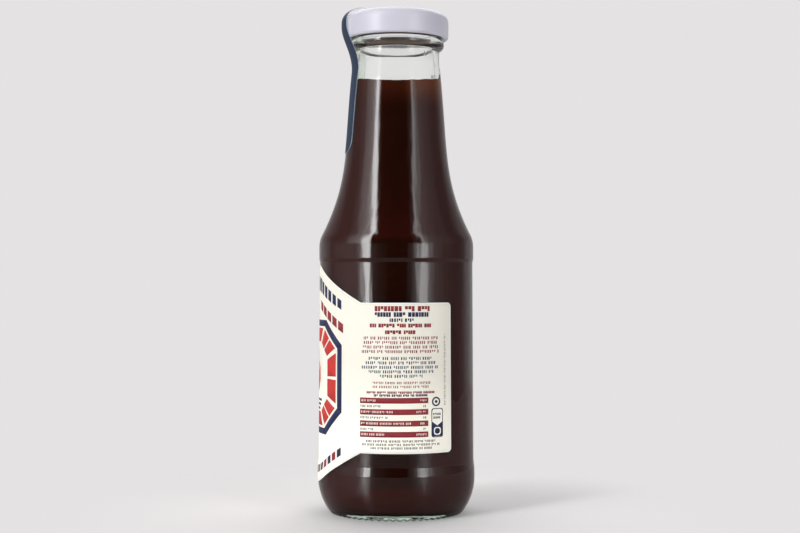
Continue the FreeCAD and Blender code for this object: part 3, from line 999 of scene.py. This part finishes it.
def strip_column(path, x):
    """Points of one column: up the neck, over the cap and along its top."""
    drawn_back = corner_cut(abs(x) - (strip_half - strip_corner), strip_corner)
    start = strip_low + drawn_back
    joint = next(i for i, p in enumerate(path) if p[1] >= neck_top - 0.01)
    heights = [start + (neck_top - start) * k / NECK_ROWS for k in range(NECK_ROWS)]
    outline = [at_height(path, z) for z in heights] + path[joint:]
    column = [(x, -math.sqrt(r * r - x * x), z) for r, z in outline]
    _, y_from, top = column[-1]
    y_to = strip_end - drawn_back
    return column + [(x, y_from + (y_to - y_from) * k / TOP_ROWS, top) for k in range(1, TOP_ROWS + 1)]


def make_strip():
    path = strip_path()
    turns = [math.radians(90 * k / HALF_COLUMNS) for k in range(-HALF_COLUMNS, HALF_COLUMNS + 1)]
    columns = [strip_column(path, strip_half * math.sin(t)) for t in turns]
    points = [(x * MM, y * MM, z * MM) for column in columns for x, y, z in column]
    strip = mesh_object("seal_strip_sheet_flat", points, faces=grid_faces(len(columns), len(columns[0])))
    strip.data.materials.append(strip_paper)
    strip.data.materials.append(strip_core)
    for face in strip.data.polygons:
        face.use_smooth = True
    layer = thicken(strip, strip_thickness)
    layer.use_even_offset = True
    layer.material_offset_rim = 1
    return settle(strip, "seal_strip_paper")


def is_back(middle, normal):
    outwards = middle - Vector((0, 0, neck_top))
    return normal.dot(outwards) < -0.2 * outwards.length


strip = make_strip()
# The unprinted back's material carries a painted glow.
add_material(strip, strip_back, is_back)
finish_piece(strip, "seal_strip")

# %% [markdown]
# ## Camera
# The camera looks at the bottle's side from half a metre off, level with its middle. It
# is shifted rather than turned, so that upright edges stay upright.

# %% Camera
camera = bpy.data.objects.new("camera", bpy.data.cameras.new("camera"))
scene.collection.objects.link(camera)
camera.location = (0.567, 0, 0.09116)
camera.rotation_euler = (math.radians(90), 0, math.radians(90))
camera.data.lens = 64.8
camera.data.sensor_width = 36
camera.data.shift_x = 0.0046
camera.data.shift_y = 0.016
scene.camera = camera
scene.view_settings.view_transform = "Standard"
print("camera", round(camera.location.x, 3), "m off,", camera.data.lens, "mm lens")

# %% [markdown]
# ## Light
# Glass shows its lamps: tall soft boxes stand to the left and right and draw the upright
# highlights, and the room in front is dark, so that the sauce keeps its depth between
# them. They are a ring of light round the bottle. The neck slopes, so it mirrors a
# higher part of the ring than the body does, and the ring has a low and a high table. A
# soft light overhead and behind shapes the cap. The eye itself sees the plain backdrop.

# %% Room
BACKDROP = linear("#E5E2E3")
RING_PEAK = 12.0

# (azimuth in degrees from +X towards +Y, radiance) at table height and higher up
LOW_RING = (
    (-180, 0.45), (-133, 0.45), (-122, 0.4), (-112, 0.25), (-96, 0.45), (-79, 0.62), (-62, 0.7), (-55, 1.6),
    (-50, 4), (-47, 10.5), (-45, 11.5), (-41.5, 11.5), (-39, 4), (-36.5, 0.6), (-33, 0.28), (-26, 0.12),
    (-8, 0.01), (14, 0.01), (20, 0.25), (28, 0.9), (33.5, 4), (36, 6.4), (45, 5.4), (51, 1.8), (60, 0.65),
    (80, 0.3), (100, 0.17), (114, 0.2), (124, 0.35), (133, 0.45), (180, 0.45))
HIGH_RING = (
    (-180, 0.5), (-133, 0.3), (-113, 0.2), (-96, 0.25), (-84, 0.5), (-74, 1.3), (-66, 1.8), (-58, 2.8),
    (-53, 5), (-50, 11), (-47.5, 12), (-44, 12), (-41.5, 4.5), (-38, 0.3), (-34, 0.01), (24, 0.01),
    (33, 0.2), (37, 2.6), (40, 3.4), (47, 1.5), (56, 0.75), (70, 0.5), (86, 0.34), (100, 0.19),
    (113, 0.15), (133, 0.3), (180, 0.5))

room = bpy.data.worlds.new("room")
scene.world = room
room.use_nodes = True
tree = room.node_tree
tree.nodes.clear()
direction = add(tree, "ShaderNodeTexCoord").outputs["Generated"]
towards = split(tree, direction)
azimuth = maths(tree, "ARCTAN2", towards["Y"], towards["X"])
turned = maths(tree, "MULTIPLY_ADD", azimuth, 1 / math.tau, 0.5)


def ring_colours(ring):
    colours = add(tree, "ShaderNodeValToRGB", {"Fac": turned})
    colours.color_ramp.interpolation = "EASE"
    stops = colours.color_ramp.elements
    while len(stops) < len(ring):
        stops.new(0.5)
    for stop, (degrees, radiance) in zip(stops, ring):
        stop.position = degrees / 360 + 0.5
        stop.color = (radiance / RING_PEAK,) * 3 + (1,)
    return colours.outputs["Color"]


def glow(colour, strength):
    return put(tree, "ShaderNodeBackground", {"Color": colour, "Strength": strength})


risen = ramp(tree, towards["Z"], 0.08, 0.26)
ring = mixed(tree, risen, ring_colours(LOW_RING), ring_colours(HIGH_RING))
ring_light = glow(ring, ramp(tree, towards["Z"], 0.76, 0.86, RING_PEAK, 0.0))
overhead = add(tree, "ShaderNodeVectorMath", {0: direction, 1: (-0.55, 0, 0.835)}, operation="DOT_PRODUCT")
overhead_light = glow(WHITE, ramp(tree, overhead.outputs["Value"], 0.72, 0.86, 0.005, 1.7, "LINEAR"))
light = put(tree, "ShaderNodeAddShader", {0: ring_light, 1: overhead_light})
ray = add(tree, "ShaderNodeLightPath").outputs
seen = maths(tree, "MAXIMUM", ray["Is Camera Ray"], ray["Is Transmission Ray"])
add(tree, "ShaderNodeOutputWorld", {"Surface": blended(tree, seen, light, glow(BACKDROP, 1.0))})
print("ring stops", len(LOW_RING), len(HIGH_RING))

# %% [markdown]
# ## Table
# The table is pale, keeps the bottle's soft shadow close by, and runs out into the same
# pale tone as the backdrop. What the glass mirrors of it is painted darker, a painted
# shade for the bottle's shadow close to its foot, so that the lower part of the bottle
# keeps its depth.

# %% Table
def make_table_material():
    made, tree, place = new_material("pale_table_laminate")
    away = add(tree, "ShaderNodeVectorMath", {0: place}, operation="LENGTH").outputs["Value"]
    ray = add(tree, "ShaderNodeLightPath").outputs
    far = maths(tree, "MULTIPLY", ramp(tree, away, 0.05, 0.14), ray["Is Camera Ray"])
    share = maths(tree, "MAXIMUM", far, ray["Is Transmission Ray"])
    plain = put(tree, "ShaderNodeBsdfDiffuse", {"Color": linear("#E1DEDF")})
    # Painted shade: glossy rays see a darker table, for the bottle's shadow near its foot.
    painted_shade_in_mirrors = put(tree, "ShaderNodeBsdfPrincipled", {
        "Base Color": linear("#9A9495"), "Roughness": 0.3, "IOR": 1.28})
    matt = blended(tree, ray["Is Glossy Ray"], plain, painted_shade_in_mirrors)
    flat = put(tree, "ShaderNodeEmission", {"Color": BACKDROP, "Strength": 1.0})
    return painted(made, blended(tree, share, matt, flat))


half = 0.6
table = mesh_object("table", [(-half, -half, 0), (half, -half, 0), (half, half, 0), (-half, half, 0)],
                    faces=[(0, 1, 2, 3)])
table.data.materials.append(make_table_material())
